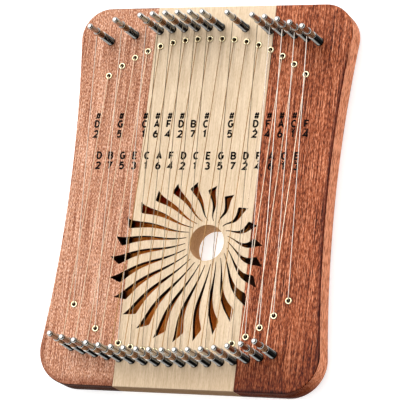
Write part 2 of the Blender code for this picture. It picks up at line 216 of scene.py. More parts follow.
def ramp(tree, value, stops):
    """A colour ramp over value, from (place, colour) stops."""
    made = add_node(tree, "ShaderNodeValToRGB", {"Fac": value})
    elements = made.color_ramp.elements
    while len(elements) < len(stops):
        elements.new(0.5)
    for element, (place, colour) in zip(elements, stops):
        element.position = place
        element.color = (*colour, 1.0)
    return made.outputs["Color"]


def blend(tree, share, first, second, kind="MIX"):
    """Two colours mixed or multiplied by a share."""
    inputs = {0: share, 6: first, 7: second}
    made = add_node(tree, "ShaderNodeMix", inputs, data_type="RGBA", blend_type=kind)
    return made.outputs[2]


def grain(tree, coords, seed, width, length, detail=2.0):
    """Noise drawn out along Y, with features of the given width and length."""
    scale = (1 / width, 1 / length, 1 / width)
    place = add_node(tree, "ShaderNodeMapping", {"Vector": coords, "Location": seed, "Scale": scale})
    noise = {"Vector": place.outputs["Vector"], "Scale": 1.0, "Detail": detail}
    return add_node(tree, "ShaderNodeTexNoise", noise).outputs["Fac"]


def weigh(tree, layers):
    """The weighted sum of several values."""
    total = 0.0
    for value, weight in layers:
        total = calc(tree, "ADD", calc(tree, "MULTIPLY", value, weight), total)
    return total


def edge_distance(tree, coords):
    """How far a point lies inside the board's waisted, round-cornered outline."""
    axes = add_node(tree, "ShaderNodeSeparateXYZ", {0: coords})
    x = calc(tree, "ABSOLUTE", axes.outputs[0])
    y = axes.outputs[1]
    up = calc(tree, "MAXIMUM", calc(tree, "SUBTRACT", y, WAIST_Y), 0.0)
    down = calc(tree, "MAXIMUM", calc(tree, "SUBTRACT", WAIST_Y, y), 0.0)
    up = calc(tree, "POWER", calc(tree, "DIVIDE", up, BOARD_LENGTH / 2 - WAIST_Y), 2.0)
    down = calc(tree, "POWER", calc(tree, "DIVIDE", down, BOARD_LENGTH / 2 + WAIST_Y), 2.0)
    half_width = weigh(tree, [(up, TOP_FLARE), (down, BOTTOM_FLARE)])
    corner = (TOP_CORNER_RADIUS + BOTTOM_CORNER_RADIUS) / 2
    across = calc(tree, "SUBTRACT", calc(tree, "SUBTRACT", x, half_width), WAIST_WIDTH / 2 - corner)
    along = calc(tree, "SUBTRACT", calc(tree, "ABSOLUTE", y), BOARD_LENGTH / 2 - corner)
    far = calc(tree, "MAXIMUM", across, 0.0)
    high = calc(tree, "MAXIMUM", along, 0.0)
    round_part = calc(tree, "SQRT", calc(tree, "ADD", calc(tree, "MULTIPLY", far, far), calc(tree, "MULTIPLY", high, high)))
    flat_part = calc(tree, "MINIMUM", calc(tree, "MAXIMUM", across, along), 0.0)
    return calc(tree, "SUBTRACT", corner, calc(tree, "ADD", round_part, flat_part))


def wood(name, seed, stops, flecks, pores, roughness):
    """Wood with broad bands, short flecks, long pale streaks and open pores along Y."""
    material, tree, shader = new_material(name)
    coords = add_node(tree, "ShaderNodeTexCoord").outputs["Object"]
    band = grain(tree, coords, (seed, 0, seed), 7 * MM, 120 * MM)
    fleck = grain(tree, coords, (seed + 3, 1, seed), flecks[0], flecks[1], 3.0)
    streak = grain(tree, coords, (seed + 7, 2, seed), 0.5 * MM, 40 * MM)
    pore = grain(tree, coords, (seed + 11, 3, seed), 0.45 * MM, 2.2 * MM)
    tone = weigh(tree, [(band, 0.1), (fleck, flecks[2]), (streak, 0.9 - flecks[2])])
    open_pore = ramp(tree, pore, [(0.38, pores), (0.50, (1, 1, 1))])
    colour = blend(tree, 1.0, ramp(tree, tone, stops), open_pore, "MULTIPLY")
    tree.links.new(colour, shader.inputs["Base Color"])
    rough = ramp(tree, fleck, [(0.3, (roughness + 0.08,) * 3), (0.7, (roughness - 0.06,) * 3)])
    tree.links.new(rough, shader.inputs["Roughness"])
    height = weigh(tree, [(fleck, 0.6), (open_pore, 0.4)])
    bump = add_node(tree, "ShaderNodeBump", {"Height": height, "Strength": 0.3, "Distance": 0.12 * MM})
    tree.links.new(bump.outputs["Normal"], shader.inputs["Normal"])
    normal = add_node(tree, "ShaderNodeNewGeometry").outputs["Normal"]
    upright = calc(tree, "ABSOLUTE", add_node(tree, "ShaderNodeSeparateXYZ", {0: normal}).outputs[2])
    tree.links.new(calc(tree, "MULTIPLY", upright, 0.12), shader.inputs["Specular IOR Level"])
    return material


def recolour(material, share_of, factor, kind="MULTIPLY", depth=1.0):
    """Multiplies a material's colour by a factor, or mixes one in, by a share from the coordinates."""
    tree = material.node_tree
    socket = tree.nodes["Principled BSDF"].inputs["Base Color"]
    coords = add_node(tree, "ShaderNodeTexCoord").outputs["Object"]
    share = calc(tree, "MULTIPLY", share_of(tree, coords), depth)
    colour = blend(tree, share, socket.links[0].from_socket, (*factor, 1.0), kind)
    tree.links.new(colour, socket)


def face_edge(width, highest):
    """The share of painted shade along the edge of the face, below a highest Y: a darker band that stands in for
    the shade at the edge and towards the bottom end.
    """
    def share_of(tree, coords):
        inside = edge_distance(tree, coords)
        edge = ramp(tree, calc(tree, "DIVIDE", inside, width), [(0.25, (1, 1, 1)), (0.95, (0, 0, 0))])
        axes = add_node(tree, "ShaderNodeSeparateXYZ", {0: coords})
        on_face = calc(tree, "GREATER_THAN", axes.outputs[2], FACE - 0.5 * MM)
        limits = {"Value": axes.outputs[1], "From Min": highest + 12 * MM, "From Max": highest - 12 * MM}
        low = add_node(tree, "ShaderNodeMapRange", limits, interpolation_type="SMOOTHSTEP").outputs["Result"]
        return calc(tree, "MULTIPLY", edge, calc(tree, "MULTIPLY", on_face, low))
    return share_of


def end_grain(first, full):
    """The share of the end faces, by how squarely a surface faces along Y: end grain's own darker tone, deepened
    with painted shade.
    """
    def share_of(tree, coords):
        normal = add_node(tree, "ShaderNodeNewGeometry").outputs["Normal"]
        along = calc(tree, "ABSOLUTE", add_node(tree, "ShaderNodeSeparateXYZ", {0: normal}).outputs[1])
        end = ramp(tree, along, [(first, (0, 0, 0)), (full, (1, 1, 1))])
        return calc(tree, "MULTIPLY", end, calc(tree, "LESS_THAN", edge_distance(tree, coords), 3 * MM))
    return share_of


def side_grain(tree, coords):
    """The share of painted light on the planed long sides, short of their rounded edges: a paler wash that stands
    in for the light falling on them.
    """
    normal = add_node(tree, "ShaderNodeNewGeometry").outputs["Normal"]
    axes = add_node(tree, "ShaderNodeSeparateXYZ", {0: normal})
    side = ramp(tree, calc(tree, "ABSOLUTE", axes.outputs[0]), [(0.65, (0, 0, 0)), (0.95, (1, 1, 1))])
    steep = ramp(tree, calc(tree, "ABSOLUTE", axes.outputs[2]), [(0.1, (1, 1, 1)), (0.5, (0, 0, 0))])
    near = calc(tree, "LESS_THAN", edge_distance(tree, coords), 3 * MM)
    cloud = ramp(tree, grain(tree, coords, (21, 4, 21), 1.6 * MM, 4 * MM), [(0.4, (0.25,) * 3), (0.6, (1, 1, 1))])
    return calc(tree, "MULTIPLY", calc(tree, "MULTIPLY", side, steep), calc(tree, "MULTIPLY", near, cloud))


def past_pocket(tree, coords):
    """The share of painted shade inside the chamber but outside its pale middle: near-black for the shadowed
    hollow under the side planks.
    """
    axes = add_node(tree, "ShaderNodeSeparateXYZ", {0: coords})
    off = calc(tree, "ABSOLUTE", calc(tree, "SUBTRACT", axes.outputs[0], POCKET_MIDDLE))
    side = ramp(tree, calc(tree, "DIVIDE", off, POCKET_HALF), [(0.95, (0, 0, 0)), (1.0, (1, 1, 1))])
    return calc(tree, "MULTIPLY", side, calc(tree, "GREATER_THAN", axes.outputs[2], 1.0 * MM))


def outer_face(tree, coords):
    """The share of the panel's outer face, which takes a duller brown than the orange inside."""
    height = add_node(tree, "ShaderNodeSeparateXYZ", {0: coords}).outputs[2]
    return calc(tree, "LESS_THAN", height, 1.0 * MM)


def hole_wall(tree, coords):
    """The share of painted shade on the sound hole's wall: a browner tone for the shade inside the hole."""
    axes = add_node(tree, "ShaderNodeSeparateXYZ", {0: coords})
    level = add_node(tree, "ShaderNodeCombineXYZ", {0: axes.outputs[0], 1: axes.outputs[1]}).outputs[0]
    inputs = {0: level, 1: (*HOLE_CENTRE, 0.0)}
    reach = add_node(tree, "ShaderNodeVectorMath", inputs, operation="DISTANCE").outputs["Value"]
    near = calc(tree, "LESS_THAN", reach, HOLE_RADIUS + 0.2 * MM)
    return calc(tree, "MULTIPLY", near, calc(tree, "LESS_THAN", axes.outputs[2], FACE - 0.2 * MM))


def strung(tree, coords):
    """The share of a string that has gone down into its ferrule, painted near-black for the shade inside the
    bore.
    """
    height = add_node(tree, "ShaderNodeSeparateXYZ", {0: coords}).outputs[2]
    return calc(tree, "LESS_THAN", height, FACE + 0.35 * MM)


def over_maple(lowest):
    """The share of a string over the maple plank, above a lowest Y, with a painted reflection of the maple and
    painted shade.
    """
    def share_of(tree, coords):
        axes = add_node(tree, "ShaderNodeSeparateXYZ", {0: coords})
        out = calc(tree, "DIVIDE", calc(tree, "ABSOLUTE", axes.outputs[0]), SEAM)
        middle = ramp(tree, out, [(0.93, (1, 1, 1)), (1.0, (0, 0, 0))])
        limits = {"Value": axes.outputs[1], "From Min": lowest - 6 * MM, "From Max": lowest + 6 * MM}
        high = add_node(tree, "ShaderNodeMapRange", limits, interpolation_type="SMOOTHSTEP").outputs["Result"]
        return calc(tree, "MULTIPLY", middle, high)
    return share_of


def over_left(tree, coords):
    """The share of a string over the pale mahogany plank, with a painted reflection of that plank."""
    x = add_node(tree, "ShaderNodeSeparateXYZ", {0: coords}).outputs[0]
    return calc(tree, "LESS_THAN", x, -SEAM)


def char():
    """Wood charred by the saw, brown-black with sooty patches; the same near-black paints the contact shade in
    the seats round pins and ferrules.
    """
    material, tree, shader = new_material("charred_and_shaded_wood")
    coords = add_node(tree, "ShaderNodeTexCoord").outputs["Object"]
    soot = add_node(tree, "ShaderNodeTexNoise", {"Vector": coords, "Scale": 700.0, "Detail": 3.0}).outputs["Fac"]
    brown = [(0.35, (0.010, 0.005, 0.003)), (0.65, (0.055, 0.022, 0.010))]
    tree.links.new(ramp(tree, soot, brown), shader.inputs["Base Color"])
    tree.links.new(ramp(tree, soot, [(0.3, (0.75,) * 3), (0.7, (0.9,) * 3)]), shader.inputs["Roughness"])
    shader.inputs["Specular IOR Level"].default_value = 0.15
    return material


def metal(name, bright, dull, roughness, scratch=0.25):
    """Polished metal with faint handling marks in its colour, gloss and surface."""
    material, tree, shader = new_material(name)
    coords = add_node(tree, "ShaderNodeTexCoord").outputs["Object"]
    mark = add_node(tree, "ShaderNodeTexNoise", {"Vector": coords, "Scale": 900.0, "Detail": 4.0}).outputs["Fac"]
    tree.links.new(ramp(tree, mark, [(0.35, dull), (0.6, bright)]), shader.inputs["Base Color"])
    rough = ramp(tree, mark, [(0.3, (roughness * 1.5,) * 3), (0.7, (roughness * 0.8,) * 3)])
    tree.links.new(rough, shader.inputs["Roughness"])
    bump = add_node(tree, "ShaderNodeBump", {"Height": mark, "Strength": scratch, "Distance": 0.01 * MM})
    tree.links.new(bump.outputs["Normal"], shader.inputs["Normal"])
    shader.inputs["Metallic"].default_value = 1.0
    return material


def ink():
    """Slightly worn black printing ink."""
    material, tree, shader = new_material("note_ink")
    coords = add_node(tree, "ShaderNodeTexCoord").outputs["Object"]
    wear = add_node(tree, "ShaderNodeTexNoise", {"Vector": coords, "Scale": 1400.0, "Detail": 3.0}).outputs["Fac"]
    black = [(0.35, (0.002, 0.001, 0.001)), (0.75, (0.010, 0.006, 0.005))]
    tree.links.new(ramp(tree, wear, black), shader.inputs["Base Color"])
    tree.links.new(ramp(tree, wear, [(0.3, (0.55,) * 3), (0.7, (0.75,) * 3)]), shader.inputs["Roughness"])
    shader.inputs["Specular IOR Level"].default_value = 0.05
    return material


def paper_floor():
    """A pale, softly lit studio table with a hint of paper grain."""
    material, tree, shader = new_material("studio_floor")
    coords = add_node(tree, "ShaderNodeTexCoord").outputs["Object"]
    mottle = add_node(tree, "ShaderNodeTexNoise", {"Vector": coords, "Scale": 40.0, "Detail": 3.0}).outputs["Fac"]
    pale = [(0.3, (0.58, 0.58, 0.58)), (0.7, (0.62, 0.62, 0.62))]
    tree.links.new(ramp(tree, mottle, pale), shader.inputs["Base Color"])
    shader.inputs["Roughness"].default_value = 0.9
    shader.inputs["Emission Color"].default_value = (1.0, 1.0, 1.0, 1.0)
    shader.inputs["Emission Strength"].default_value = FLOOR_GLOW
    return material


def mesh_from(name, bm, finish):
    """Turns a bmesh into a mesh with its faces pointing out."""
    bmesh.ops.recalc_face_normals(bm, faces=bm.faces)
    mesh = bpy.data.meshes.new(name)
    bm.to_mesh(mesh)
    bm.free()
    mesh.materials.append(finish)
    return mesh


def add_object(name, mesh):
    """Links an object that shows a mesh."""
    obj = bpy.data.objects.new(name, mesh)
    bpy.context.scene.collection.objects.link(obj)
    return obj


def add_copy(name, mesh, body, placement):
    """An object that shows a mesh at a place and rides on a body."""
    piece = add_object(name, mesh)
    piece.matrix_world = placement
    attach(piece, body)
    return piece


def add_piece(name, bm, finish, body):
    """A mesh piece that rides on a body."""
    return add_copy(name, mesh_from(name, bm, finish), body, Matrix.Identity(4))


def smooth(mesh, angle=32.0):
    """Smooth shading that keeps edges sharper than angle."""
    mesh.shade_smooth()
    mesh.set_sharp_from_angle(angle=math.radians(angle))


def loft(bm, loops):
    """Skins a stack of equal point loops and closes both ends."""
    rings = [[bm.verts.new(point) for point in loop] for loop in loops]
    for low, high in zip(rings, rings[1:]):
        for i in range(len(low)):
            j = (i + 1) % len(low)
            bm.faces.new((low[i], low[j], high[j], high[i]))
    bm.faces.new(list(reversed(rings[0])))
    bm.faces.new(rings[-1])


def prism(bm, outline, low, high):
    """Extrudes a flat outline from height low to height high."""
    loft(bm, [[(x, y, z) for x, y in outline] for z in (low, high)])


def circle(centre, radius, sides):
    """Points of a regular polygon on a circle."""
    angles = [2 * math.pi * i / sides for i in range(sides)]
    return [(centre[0] + radius * math.cos(a), centre[1] + radius * math.sin(a)) for a in angles]


def side_half_width(y):
    """Half the board's width at y, from the waist out to the flared ends."""
    if y > WAIST_Y:
        return WAIST_WIDTH / 2 + TOP_FLARE * ((y - WAIST_Y) / (BOARD_LENGTH / 2 - WAIST_Y)) ** 2
    return WAIST_WIDTH / 2 + BOTTOM_FLARE * ((WAIST_Y - y) / (BOARD_LENGTH / 2 + WAIST_Y)) ** 2


def corner_arc(end, radius):
    """The arc at the right from the flared side, which it just touches, to the end at 1 or -1."""
    centre_y = BOARD_LENGTH / 2 - radius
    touches = []
    for i in range(61):
        angle = CORNER_TOUCH * (i / 30 - 1)
        side = side_half_width(end * (centre_y + radius * math.sin(angle)))
        touches.append((side - radius * math.cos(angle), angle))
    centre_x, first = min(touches)
    angles = [first + (math.pi / 2 - first) * i / CORNER_STEPS for i in range(CORNER_STEPS + 1)]
    return [
        Vector((centre_x + radius * math.cos(a), end * (centre_y + radius * math.sin(a)))) for a in angles
    ]


def board_outline():
    """The waisted outline, anticlockwise from the bottom of the right side."""
    top = corner_arc(1, TOP_CORNER_RADIUS)
    bottom = corner_arc(-1, BOTTOM_CORNER_RADIUS)
    low, high = bottom[0].y, top[0].y
    heights = [low + (high - low) * i / SIDE_STEPS for i in range(1, SIDE_STEPS)]
    side = [Vector((side_half_width(y), y)) for y in heights]
    right = list(reversed(bottom)) + side + top
    return right + [Vector((-p.x, p.y)) for p in reversed(right)]


def inset(outline, depth):
    """The outline moved inwards by depth, along the mean of its edges' normals."""
    moved = []
    for i, point in enumerate(outline):
        before = (point - outline[i - 1]).normalized()
        after = (outline[(i + 1) % len(outline)] - point).normalized()
        along = (before + after).normalized()
        moved.append(point + Vector((-along.y, along.x)) * depth / along.dot(after))
    return moved


def add_board(bm):
    """The whole board with rounded edges at the back and the face."""
    outline = board_outline()
    levels = []
    for i in range(EDGE_STEPS + 1):
        angle = math.pi / 2 * i / EDGE_STEPS
        levels.append((BACK_EDGE_RADIUS * (1 - math.cos(angle)), BACK_EDGE_RADIUS * (1 - math.sin(angle))))
    for i in range(EDGE_STEPS + 1):
        angle = math.pi / 2 * i / EDGE_STEPS
        height = FACE - FACE_EDGE_RADIUS * (1 - math.sin(angle))
        levels.append((height, FACE_EDGE_RADIUS * (1 - math.cos(angle))))
    loft(bm, [[(p.x, p.y, z) for p in inset(outline, depth)] for z, depth in levels])


def ray_point(share, angle):
    """A point on one of the circles between the hole's ring, at share 0, and the tips, at share 1."""
    centre = RAY_CENTRE.lerp(HOLE_CENTRE, (1 - share) ** RAY_DRIFT)
    radius = RAY_ROOT_RADIUS + (RAY_TIP_RADIUS - RAY_ROOT_RADIUS) * share
    return centre + radius * Vector((math.cos(angle), math.sin(angle)))


def ray_outline(index):
    """One ray: a slit at the ring, swept in an S, widening to a round shoulder and a sharp tip."""
    tip_angle = RAY_FIRST_ANGLE - index * 2 * math.pi / RAY_COUNT
    reach = (ray_point(1, tip_angle) - ray_point(0, tip_angle)).length
    delay = max(1.0, (RAY_TIP_RADIUS - RAY_ROOT_RADIUS) / reach)

    def edge(end, root_spread, spread):
        points = []
        for i in range(RAY_STEPS + 1):
            share = end * i / RAY_STEPS
            sweep = RAY_TURN * (1 - share) - RAY_SWIRL * math.sin(math.pi * share) ** 2
            points.append(ray_point(share, tip_angle + sweep + root_spread + spread * share ** delay))
        return points

    leading = edge(1.0, 0.0, 0.0)
    trailing = edge(RAY_SHOULDER, RAY_ROOT_SPREAD, RAY_SPREAD)
    corner = trailing.pop()
    while (trailing[-1] - corner).length < RAY_CORNER_CUT:
        trailing.pop()
    first = corner + (trailing[-1] - corner).normalized() * RAY_CORNER_CUT
    last = corner + (leading[-1] - corner).normalized() * RAY_CORNER_CUT
    shares = [i / 5 for i in range(6)]
    rounded = [first.lerp(corner, s).lerp(corner.lerp(last, s), s) for s in shares]
    return leading + list(reversed(trailing + rounded))


def wire_mouths():
    """For each wire, the points on the face where it goes down into its bores."""
    found = {}
    for name, node in frame["nodes"].items():
        if not name.startswith("wire_"):
            continue
        rim = [v.co for v in node.data.vertices if FACE < v.co.z < FACE + MOUTH_HEIGHT]
        middle = sum(v.x for v in rim) / len(rim)
        wide = max(v.x for v in rim) - min(v.x for v in rim) > 4 * WIRE_RADIUS
        found[name] = []
        for side in (-1, 1) if wide else (0,):
            ring = [v for v in rim if side == 0 or (v.x - middle) * side > 0]
            centre = sum((Vector(v) for v in ring), Vector()) / len(ring)
            found[name].append(Vector((centre.x, centre.y, FACE)))
    return found


def add_tool(name, bm, finish):
    """A solid that shapes others by Boolean and is removed afterwards."""
    return add_object(name, mesh_from(name, bm, finish))


def shape(obj, tool, operation="DIFFERENCE"):
    """Cuts or crosses obj with tool, whose material shows on the new faces."""
    modifier = obj.modifiers.new(tool.name, "BOOLEAN")
    modifier.object = tool
    modifier.operation = operation
    modifier.solver = "EXACT"
    modifier.material_mode = "TRANSFER"


def worked_mesh(obj, name):
    """A plain mesh with the object's modifiers worked in."""
    bpy.context.view_layer.update()
    graph = bpy.context.evaluated_depsgraph_get()
    mesh = bpy.data.meshes.new_from_object(obj.evaluated_get(graph))
    mesh.name = name
    return mesh


def hole_core(name, radius, finish):
    """A cylinder round the sound hole's axis, through the board."""
    bm = bmesh.new()
    prism(bm, circle(HOLE_CENTRE, radius, ROUND_SIDES), -2 * CUT_MARGIN, FACE + CUT_MARGIN)
    return add_tool(name, bm, finish)


def chamber_tool(finish):
    """The chamber and the panel's rebate, round the wall of the sound hole."""
    rebate = PANEL_THICKNESS + CLEARANCE
    loops = []
    for height, radius in (
        (-CUT_MARGIN, REBATE_RADIUS),
        (rebate, REBATE_RADIUS),
        (rebate, CHAMBER_RADIUS),
        (CHAMBER_CEILING, CHAMBER_RADIUS),
    ):
        loops.append([(x, y, height) for x, y in circle(RAY_CENTRE, radius, ROUND_SIDES)])
    bm = bmesh.new()
    loft(bm, loops)
    chamber = add_tool("chamber_tool", bm, finish)
    shape(chamber, hole_core("hole_wall_tool", HOLE_WALL_RADIUS, finish))
    return chamber


def ray_tool(finish):
    """All rays, down into the chamber."""
    bm = bmesh.new()
    for index in range(RAY_COUNT):
        prism(bm, ray_outline(index), FACE - RAY_DEPTH, FACE + CUT_MARGIN)
    return add_tool("ray_tool", bm, finish)


def bore_tool(finish):
    """The string bores through the board."""
    bm = bmesh.new()
    for ends in wire_mouths().values():
        for end in ends:
            prism(bm, circle(end, BORE_RADIUS, BORE_SIDES), -CUT_MARGIN, FACE + CUT_MARGIN)
    return add_tool("string_bore_tool", bm, finish)


def seat_tool(finish):
    """The shallow seats that pins and ferrules stand in, whose walls take the near-black finish as painted
    contact shade.
    """
    bm = bmesh.new()
    for joint in frame["joints"]:
        seat = circle(joint["pos_m"], BARREL_RADIUS + PIN_GAP, FERRULE_SIDES)
        prism(bm, seat, FACE - 1.5 * MM, FACE + CUT_MARGIN)
    for ends in wire_mouths().values():
        for end in ends:
            seat = circle(end, FERRULE_RADIUS + FERRULE_GAP, FERRULE_SIDES)
            prism(bm, seat, FACE - 0.4 * MM, FACE + CUT_MARGIN)
    return add_tool("seat_tool", bm, finish)


def groove_tool(finish):
    """Grooves in the back from bore to bore, and the pocket of the one knot."""
    bm = bmesh.new()
    for ends in wire_mouths().values():
        if len(ends) == 1:
            prism(bm, circle(ends[0], POCKET_RADIUS, BORE_SIDES), -CUT_MARGIN, GROOVE_DEPTH)
            continue
        start, stop = (Vector(end[:2]) for end in ends)
        along = (stop - start).normalized() * (BORE_RADIUS + 0.1 * MM)
        across = Vector((-along.y, along.x))
        outline = [start - along - across, stop + along - across, stop + along + across, start - along + across]
        prism(bm, outline, -CUT_MARGIN, GROOVE_DEPTH)
    return add_tool("groove_tool", bm, finish)


def set_shading(mesh):
    """Smooth shading on round surfaces, and plain shading on the flat face and back."""
    smooth(mesh)
    for polygon in mesh.polygons:
        if abs(polygon.normal.z) > 0.9999:
            polygon.use_smooth = False


def build_planks(planks, panel_wood, scorch_and_shade_finish):
    """The three planks, carved as one board and parted along the glued seams."""
    blank = planks[1][1]
    before = set(bpy.data.objects)
    bm = bmesh.new()
    add_board(bm)
    board = add_tool("board_tool", bm, blank)
    shape(board, chamber_tool(panel_wood))
    shape(board, ray_tool(scorch_and_shade_finish))
    shape(board, hole_core("sound_hole_tool", HOLE_RADIUS, blank))
    shape(board, seat_tool(scorch_and_shade_finish))
    shape(board, bore_tool(scorch_and_shade_finish))
    shape(board, groove_tool(blank))
    carved = worked_mesh(board, "carved_board")
    edges = (-BOARD_LENGTH, -SEAM - SEAM_GAP / 2, -SEAM + SEAM_GAP / 2, SEAM - SEAM_GAP / 2, SEAM + SEAM_GAP / 2, BOARD_LENGTH)
    shown = []
    for index, (node, finish, slot) in enumerate(planks):
        low, high = edges[2 * index], edges[2 * index + 1]
        bm = bmesh.new()
        strip = [(low, -BOARD_LENGTH), (high, -BOARD_LENGTH), (high, BOARD_LENGTH), (low, BOARD_LENGTH)]
        prism(bm, strip, -CUT_MARGIN, FACE + CUT_MARGIN)
        part = add_object(f"{node}_tool", carved.copy())
        shape(part, add_tool(f"{node}_strip", bm, blank), "INTERSECT")
        mesh = worked_mesh(part, f"{node}_plank")
        for i, material in enumerate(mesh.materials):
            if material == blank:
                mesh.materials[i] = finish
        set_shading(mesh)
        shown.append((node, mesh, slot))
    for obj in set(bpy.data.objects) - before:
        bpy.data.objects.remove(obj, do_unlink=True)
    for node, mesh, slot in shown:
        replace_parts(add_copy(f"{node}_plank", mesh, "harp", Matrix.Identity(4)), node)


def build_panel(finish):
    """The panel that closes the chamber at the back."""
    before = set(bpy.data.objects)
    bm = bmesh.new()
    prism(bm, circle(RAY_CENTRE, REBATE_RADIUS - CLEARANCE, ROUND_SIDES), 0.0, PANEL_THICKNESS)
    blank = add_tool("panel_tool", bm, finish)
    shape(blank, hole_core("panel_hole_tool", HOLE_WALL_RADIUS + CLEARANCE, finish))
    mesh = worked_mesh(blank, "chamber_panel")
    set_shading(mesh)
    for obj in set(bpy.data.objects) - before:
        bpy.data.objects.remove(obj, do_unlink=True)
    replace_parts(add_copy("chamber_panel", mesh, "harp", Matrix.Identity(4)), "back_panel")


def turn(bm, profile, sides, placement=None):
    """Revolves (height, radius) points about Z."""
    placement = placement or Matrix.Identity(4)
    rings = []
    for height, radius in profile:
        points = [(x, y, height) for x, y in circle((0, 0), radius, sides)]
        rings.append([bm.verts.new(placement @ Vector(point)) for point in points])
    for low, high in zip(rings, rings[1:]):
        for i in range(sides):
            j = (i + 1) % sides
            bm.faces.new((low[i], low[j], high[j], high[i]))
    return rings


def arc(centre, radius, first, last, steps):
    """(height, radius) points on a small arc of a turned profile, angles in degrees from outward to up."""
    height, out = centre
    angles = [math.radians(first + (last - first) * i / steps) for i in range(steps + 1)]
    return [(height + radius * math.sin(a), out + radius * math.cos(a)) for a in angles]


def pin_profile():
    """The pin's outline: threaded barrel, waist under the coil, bead, shank, neck and domed crown."""
    points = [(-PIN_SUNK, BARREL_RADIUS - THREAD_DEPTH)]
    turns = int(BARREL_HEIGHT / THREAD_PITCH) - 1
    for i in range(turns):
        foot = i * THREAD_PITCH + 0.2 * MM
        points.append((foot, BARREL_RADIUS - THREAD_DEPTH))
        points.append((foot + THREAD_PITCH / 2, BARREL_RADIUS))
    points.append((turns * THREAD_PITCH + 0.2 * MM, BARREL_RADIUS - THREAD_DEPTH))
    points += arc((BARREL_HEIGHT - 0.3 * MM, BARREL_RADIUS - 0.3 * MM), 0.3 * MM, 0, 90, 4)
    coil_top = BARREL_HEIGHT + COIL_HEIGHT
    points.append((BARREL_HEIGHT + 0.05 * MM, WAIST_RADIUS))
    points.append((coil_top, WAIST_RADIUS))
    edge = 0.9 * MM
    points += arc((coil_top + edge, BEAD_RADIUS - edge), edge, -90, 0, 6)
    points += arc((coil_top + BEAD_HEIGHT - edge, BEAD_RADIUS - edge), edge, 0, 90, 6)
    points.append((coil_top + BEAD_HEIGHT + 0.05 * MM, SHANK_RADIUS))
    crown = PIN_HEIGHT - CROWN_BEVEL
    points.append((crown - 2 * NECK_DEPTH, SHANK_RADIUS))
    points.append((crown - NECK_DEPTH, SHANK_RADIUS - NECK_DEPTH))
    points.append((crown - 0.2 * MM, SHANK_RADIUS - 0.05 * MM))
    points += arc((crown, SHANK_RADIUS - CROWN_BEVEL), CROWN_BEVEL, 0, 90, 8)
    return points


def pin_mesh(finish):
    """One tuning pin about its own axis, closed at both ends."""
    bm = bmesh.new()
    rings = turn(bm, pin_profile(), PIN_SIDES)
    bm.faces.new(list(reversed(rings[0])))
    bm.faces.new(rings[-1])
    mesh = mesh_from("tuning_pin", bm, finish)
    smooth(mesh)
    return mesh


def coil_mesh(finish, side):
    """The close turns of string round a pin's waist, wound to leave it at the side 1 or -1."""
    bm = bmesh.new()
    steps = COIL_TURNS * 20
    path_radius = COIL_RADIUS - WIRE_RADIUS
    low = BARREL_HEIGHT + WIRE_RADIUS * 1.4
    climb = COIL_HEIGHT - 2.8 * WIRE_RADIUS
    loops = []
    for i in range(steps + 1):
        share = i / steps
        angle = side * 2 * math.pi * COIL_TURNS * share
        outward = Vector((math.cos(angle), math.sin(angle), 0))
        centre = outward * path_radius + Vector((0, 0, low + climb * share))
        around = [2 * math.pi * k / 8 for k in range(8)]
        offsets = [outward * math.cos(a) + Vector((0, 0, math.sin(a))) for a in around]
        loops.append([centre + offset * WIRE_RADIUS for offset in offsets])
    loft(bm, loops)
    mesh = mesh_from("string_coil", bm, finish)
    mesh.shade_smooth()
    return mesh


def build_pins(chrome, bronze):
    """Every tuning pin with its coil, on its own joint's axis."""
    pin = pin_mesh(chrome)
    coils = {"bottom": coil_mesh(bronze, 1), "top": coil_mesh(bronze, -1)}
    for joint in frame["joints"]:
        node = joint["child"]
        edge = node.split("_")[1]
        axis = Vector(joint["axis"]).normalized()
        lean = Vector((0, 0, 1)).rotation_difference(axis).to_matrix().to_4x4()
        placement = Matrix.Translation(joint["pos_m"]) @ lean
        shown = add_copy(f"tuning_{node}", pin, node, placement)
        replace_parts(shown, node)
        add_copy(f"coil_{node}", coils[edge], node, placement)


def build_ferrules(brass):
    """Brass ferrules round the string bores."""
    bm = bmesh.new()
    edge = 0.28 * MM
    top = FERRULE_HEIGHT - edge
    profile = [(-0.5 * MM, FERRULE_RADIUS)]
    profile += arc((top, FERRULE_RADIUS - edge), edge, 0, 90, 5)
    profile += arc((top, FERRULE_BORE + edge), edge, 90, 180, 5)
    profile.append((-FERRULE_DEPTH, FERRULE_BORE))
    profile.append((-FERRULE_DEPTH, FERRULE_BORE * 1.04))
    profile.append((-0.5 * MM, FERRULE_BORE * 1.04))
    for ends in wire_mouths().values():
        for point in ends:
            rings = turn(bm, profile, FERRULE_SIDES, Matrix.Translation(point))
            for i in range(FERRULE_SIDES):
                j = (i + 1) % FERRULE_SIDES
                bm.faces.new((rings[-1][i], rings[-1][j], rings[0][j], rings[0][i]))
    piece = add_piece("ferrules", bm, brass, "harp")
    smooth(piece.data)


def bow(centre, radii, first, last, steps=10):
    """Points on an upright ellipse's arc, angles in degrees from the right, anticlockwise."""
    angles = [math.radians(first + (last - first) * i / steps) for i in range(steps + 1)]
    return [(centre[0] + radii[0] * math.cos(a), centre[1] + radii[1] * math.sin(a)) for a in angles]


